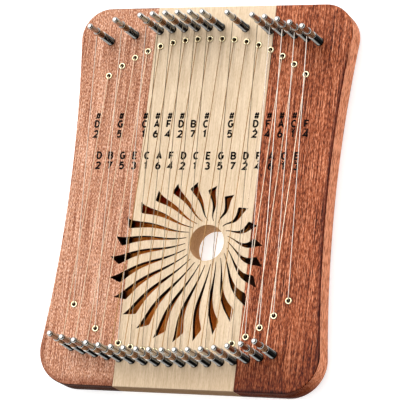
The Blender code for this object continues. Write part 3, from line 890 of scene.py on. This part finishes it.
def glyph_strokes():
    """The middle lines of each sign's strokes, in a box of width and height 1."""
    return {
        "A": [[(0.0, 0.0), (0.5, 1.0), (1.0, 0.0)], [(0.18, 0.3), (0.82, 0.3)]],
        "B": [
            [(0.0, 0.0), (0.0, 1.0), (0.45, 1.0)] + bow((0.45, 0.76), (0.42, 0.24), 80, -90) + [(0.0, 0.52)],
            [(0.45, 0.52)] + bow((0.48, 0.26), (0.46, 0.26), 80, -90) + [(0.0, 0.0)],
        ],
        "C": [bow((0.52, 0.5), (0.52, 0.5), 48, 312, 16)],
        "D": [[(0.0, 0.0), (0.0, 1.0), (0.35, 1.0)] + bow((0.35, 0.5), (0.6, 0.5), 80, -90, 12) + [(0.0, 0.0)]],
        "E": [[(0.9, 1.0), (0.05, 1.0), (0.05, 0.0), (0.9, 0.0)], [(0.05, 0.52), (0.78, 0.52)]],
        "F": [[(0.9, 1.0), (0.05, 1.0), (0.05, 0.0)], [(0.05, 0.5), (0.75, 0.5)]],
        "G": [bow((0.5, 0.5), (0.52, 0.5), 48, 335, 16) + [(0.98, 0.46), (0.56, 0.46)]],
        "1": [[(0.16, 0.8), (0.52, 1.0), (0.52, 0.0)]],
        "2": [bow((0.48, 0.72), (0.44, 0.28), 165, -35) + [(0.02, 0.0), (0.98, 0.0)]],
        "3": [
            bow((0.46, 0.76), (0.4, 0.24), 150, -80),
            bow((0.46, 0.27), (0.48, 0.27), 90, -150),
        ],
        "4": [[(0.72, 0.0), (0.72, 1.0), (0.0, 0.28), (1.0, 0.28)]],
        "5": [[(0.9, 1.0), (0.22, 1.0), (0.12, 0.58)] + bow((0.46, 0.33), (0.5, 0.33), 115, -145)],
        "6": [
            bow((0.5, 0.31), (0.46, 0.31), 170, -190, 16),
            bow((0.84, 0.31), (0.8, 0.69), 100, 180),
        ],
        "7": [[(0.02, 1.0), (0.98, 1.0), (0.36, 0.0)]],
        "#": [
            [(0.2, 0.0), (0.4, 1.0)],
            [(0.62, 0.0), (0.82, 1.0)],
            [(0.0, 0.3), (0.96, 0.3)],
            [(0.06, 0.7), (1.0, 0.7)],
        ],
    }


def stroke_outline(points, half):
    """The closed outline of a stroke of half its width to each side of its middle line."""
    left, right = [], []
    for i, point in enumerate(points):
        before = (point - points[i - 1]).normalized() if i else (points[1] - point).normalized()
        after = (points[i + 1] - point).normalized() if i + 1 < len(points) else before
        along = (before + after).normalized()
        reach = half / max(0.45, along.dot(after))
        across = Vector((-along.y, along.x)) * reach
        left.append(point + across)
        right.append(point - across)
    return right + list(reversed(left))


def add_sign(bm, strokes, box, stroke, x, y):
    """One sign of thin ink, centred at x and y on the face."""
    for line in strokes:
        points = [Vector((x + (px - 0.5) * box[0], y + (py - 0.5) * box[1])) for px, py in line]
        prism(bm, stroke_outline(points, stroke / 2), FACE, FACE + INK_HEIGHT)


def column_places(edge):
    """The x of each column that has a pin at the given edge."""
    return {int(j["child"][-2:]): j["pos_m"][0] for j in frame["joints"] if f"_{edge}_" in j["child"]}


def add_dots(bm, count, x, y):
    """One or two octave dots, side by side."""
    for i in range(count):
        centre = (x + (i - (count - 1) / 2) * DOT_GAP, y)
        prism(bm, circle(centre, DOT_RADIUS, 12), FACE, FACE + INK_HEIGHT)


def build_note_names(finish):
    """Generic note names, scale degrees and octave dots beside the strings, as thin ink."""
    bm = bmesh.new()
    signs = glyph_strokes()

    def add_note(note, place, rows, dots):
        if note.startswith("#"):
            add_sign(bm, signs["#"], SHARP_BOX, SHARP_STROKE, place, rows["sharp"])
        degree = str(DEGREES[note[-1]])
        add_sign(bm, signs[note[-1]], LETTER_BOX, LETTER_STROKE, place, rows["letter"])
        add_sign(bm, signs[degree], LETTER_BOX, LETTER_STROKE, place, rows["number"])
        add_dots(bm, dots, place, rows["dot"])

    for column, x in column_places("top").items():
        place = x + UPPER_SHIFT + (0.0 if column else FIRST_NUDGE)
        add_note(UPPER_NOTES[column], place, UPPER_ROWS, UPPER_DOTS.get(column, 0))
    for column, x in column_places("bottom").items():
        place = x + LOWER_SHIFT + (0.0 if column else FIRST_NUDGE)
        add_note(LOWER_NOTES[column], place, LOWER_ROWS, LOWER_DOTS.get(column, 0))
    add_piece("note_names", bm, finish, "harp")


def dress(node, finish):
    """Gives a solid its finish."""
    mesh = frame["nodes"][node].data
    mesh.materials.clear()
    mesh.materials.append(finish)


def build_camera():
    """The camera at the photograph's angle."""
    data = bpy.data.cameras.new("camera")
    data.lens = CAMERA_LENS
    data.sensor_width = CAMERA_SENSOR
    data.clip_start = 0.05
    data.clip_end = 20.0
    camera = add_object("camera", data)
    level = math.cos(CAMERA_ELEVATION)
    back = Vector((
        math.sin(CAMERA_AZIMUTH) * level,
        -math.cos(CAMERA_AZIMUTH) * level,
        math.sin(CAMERA_ELEVATION),
    ))
    turned = back.to_track_quat("Z", "Y").to_matrix().to_4x4() @ Matrix.Rotation(CAMERA_ROLL, 4, "Z")
    camera.matrix_world = Matrix.Translation(CAMERA_TARGET + back * CAMERA_DISTANCE) @ turned
    bpy.context.scene.camera = camera


def area_light(name, place, size, power, colour, mirrored=True):
    """A square soft light aimed at the harp, which polished metal may mirror or not."""
    data = bpy.data.lights.new(name, "AREA")
    data.shape = "SQUARE"
    data.size = size
    data.energy = power
    data.color = colour
    light = add_object(name, data)
    light.location = place
    light.rotation_mode = "QUATERNION"
    light.rotation_quaternion = (-Vector(place)).to_track_quat("-Z", "Y")
    light.visible_glossy = mirrored


def world_cone(tree, view, azimuth, elevation, inner, outer):
    """1 within the inner angle from a direction, fading to 0 at the outer angle."""
    azimuth, elevation = math.radians(azimuth), math.radians(elevation)
    level = math.cos(elevation)
    aim = (level * math.cos(azimuth), level * math.sin(azimuth), math.sin(elevation))
    near = add_node(tree, "ShaderNodeVectorMath", {0: view, 1: aim}, operation="DOT_PRODUCT").outputs["Value"]
    limits = {"Value": near, "From Min": math.cos(math.radians(outer)), "From Max": math.cos(math.radians(inner))}
    return add_node(tree, "ShaderNodeMapRange", limits, interpolation_type="SMOOTHSTEP").outputs["Result"]


def build_world():
    """A bright studio with a soft box high at the back, and dark flags towards the front."""
    world = bpy.data.worlds.new("studio")
    world.use_nodes = True
    tree = world.node_tree
    view = add_node(tree, "ShaderNodeTexCoord").outputs["Generated"]
    azimuth, elevation, inner, outer, strength = WORLD_BOX
    cone = world_cone(tree, view, azimuth, elevation, inner, outer)
    total = calc(tree, "ADD", calc(tree, "MULTIPLY", cone, strength), WORLD_BASE)
    for azimuth, elevation, inner, outer, depth in WORLD_FLAGS:
        flag = calc(tree, "MULTIPLY", world_cone(tree, view, azimuth, elevation, inner, outer), depth)
        total = calc(tree, "MULTIPLY", total, calc(tree, "SUBTRACT", 1.0, flag))
    tree.nodes["Background"].inputs["Color"].default_value = (1.0, 1.0, 1.0, 1.0)
    tree.links.new(total, tree.nodes["Background"].inputs["Strength"])
    bpy.context.scene.world = world


def build_studio():
    """Pale floor and soft light."""
    bm = bmesh.new()
    bmesh.ops.create_grid(bm, x_segments=1, y_segments=1, size=6.0)
    floor = add_object("floor", mesh_from("floor", bm, paper_floor()))
    floor.location.z = -FLOOR_DROP
    area_light("key", (-0.60, 0.90, 1.70), 1.8, 8.0, (1.0, 0.99, 0.97), mirrored=False)
    area_light("side", (1.7, 0.5, 0.40), 1.0, 16.0, (1.0, 0.98, 0.96), mirrored=False)
    build_world()
    bpy.context.scene.view_settings.view_transform = "Standard"


def main():
    pale_mahogany = wood(
        "pale_mahogany", 1.0,
        [
            (0.415, (0.22, 0.062, 0.028)), (0.47, (0.42, 0.170, 0.090)),
            (0.53, (0.61, 0.295, 0.170)), (0.59, (0.85, 0.56, 0.42)),
        ],
        (0.5 * MM, 1.5 * MM, 0.5), (0.60, 0.52, 0.48), 0.48,
    )
    # painted shade along the face's edge and towards its bottom end
    recolour(pale_mahogany, face_edge(7.0 * MM, -0.37 * BOARD_LENGTH), (0.55, 0.40, 0.33))
    # the end faces' own darker grain, deepened with painted shade
    recolour(pale_mahogany, end_grain(0.25, 0.65), (0.10, 0.07, 0.06))
    dark_mahogany = wood(
        "dark_mahogany", 5.0,
        [
            (0.415, (0.060, 0.008, 0.002)), (0.47, (0.22, 0.042, 0.011)),
            (0.53, (0.43, 0.112, 0.038)), (0.59, (0.72, 0.29, 0.155)),
        ],
        (0.48 * MM, 2.4 * MM, 0.42), (0.58, 0.50, 0.46), 0.45,
    )
    # painted shade: a dark band along the right edge of the face, and more towards the bottom end
    recolour(dark_mahogany, face_edge(3.0 * MM, 0.37 * BOARD_LENGTH), (0.26, 0.13, 0.10))
    recolour(dark_mahogany, face_edge(28.0 * MM, -0.36 * BOARD_LENGTH), (0.55, 0.41, 0.28))
    # painted light: a paler wash on the long sides
    recolour(dark_mahogany, side_grain, (0.80, 0.345, 0.20), "MIX", 0.75)
    # the end faces' own darker grain, deepened with painted shade
    recolour(dark_mahogany, end_grain(0.5, 0.95), (0.24, 0.15, 0.11))
    maple = wood(
        "maple", 9.0,
        [(0.38, (0.61, 0.46, 0.30)), (0.50, (0.71, 0.55, 0.38)), (0.62, (0.80, 0.64, 0.46))],
        (1.3 * MM, 14.0 * MM, 0.4), (0.91, 0.88, 0.84), 0.45,
    )
    # painted shade towards the bottom end of the face
    recolour(maple, face_edge(30.0 * MM, -0.40 * BOARD_LENGTH), (0.95, 0.92, 0.89))
    # the end faces' own darker grain, deepened with painted shade
    recolour(maple, end_grain(0.5, 0.95), (0.30, 0.23, 0.17))
    # painted shade on the sound hole's wall
    recolour(maple, hole_wall, (0.82, 0.68, 0.56))
    panel = wood(
        "panel_wood", 13.0,
        [(0.36, (0.78, 0.20, 0.018)), (0.50, (0.92, 0.31, 0.032)), (0.64, (1.0, 0.45, 0.07))],
        (0.8 * MM, 5.0 * MM, 0.5), (0.8, 0.7, 0.6), 0.5,
    )
    # painted shade, near-black, in the chamber outside its middle
    recolour(panel, past_pocket, (0.06, 0.04, 0.04))
    recolour(panel, outer_face, (0.52, 0.29, 0.12), "MIX", 0.75)
    chrome = metal("chrome", (0.48, 0.47, 0.44), (0.38, 0.37, 0.35), 0.09)
    golden = metal("string_golden", (0.88, 0.74, 0.58), (0.74, 0.60, 0.44), 0.3)
    silver = metal("string_silver", (0.88, 0.80, 0.71), (0.72, 0.64, 0.56), 0.3)
    # painted reflections of the planks and painted shade on the strings
    for string, factor in ((golden, (0.50, 0.33, 0.16)), (silver, (0.40, 0.36, 0.29))):
        recolour(string, over_maple(-BOARD_LENGTH), factor)
        recolour(string, over_maple(8 * MM), (0.62, 0.60, 0.56))
        recolour(string, over_left, (0.86, 0.79, 0.74))
        # near-black painted shade on the strings inside their bores
        recolour(string, strung, (0.05, 0.04, 0.03))
    bronze = metal("coil_bronze", (0.46, 0.26, 0.14), (0.28, 0.15, 0.08), 0.2)
    brass = metal("ferrule_brass", (1.0, 0.90, 0.62), (0.90, 0.74, 0.44), 0.3)
    planks = (
        ("body_left", pale_mahogany, "mahogany_left"),
        ("body_centre", maple, "maple"),
        ("body_right", dark_mahogany, "mahogany_right"),
    )
    # the charred finish also paints the contact shade in the seats round pins and ferrules
    build_planks(planks, panel, char())
    build_panel(panel)
    for name in frame["nodes"]:
        if name.startswith("wire_"):
            dress(name, golden if "_low_" in name else silver)
    build_pins(chrome, bronze)
    build_ferrules(brass)
    build_note_names(ink())
    build_camera()
    build_studio()


main()
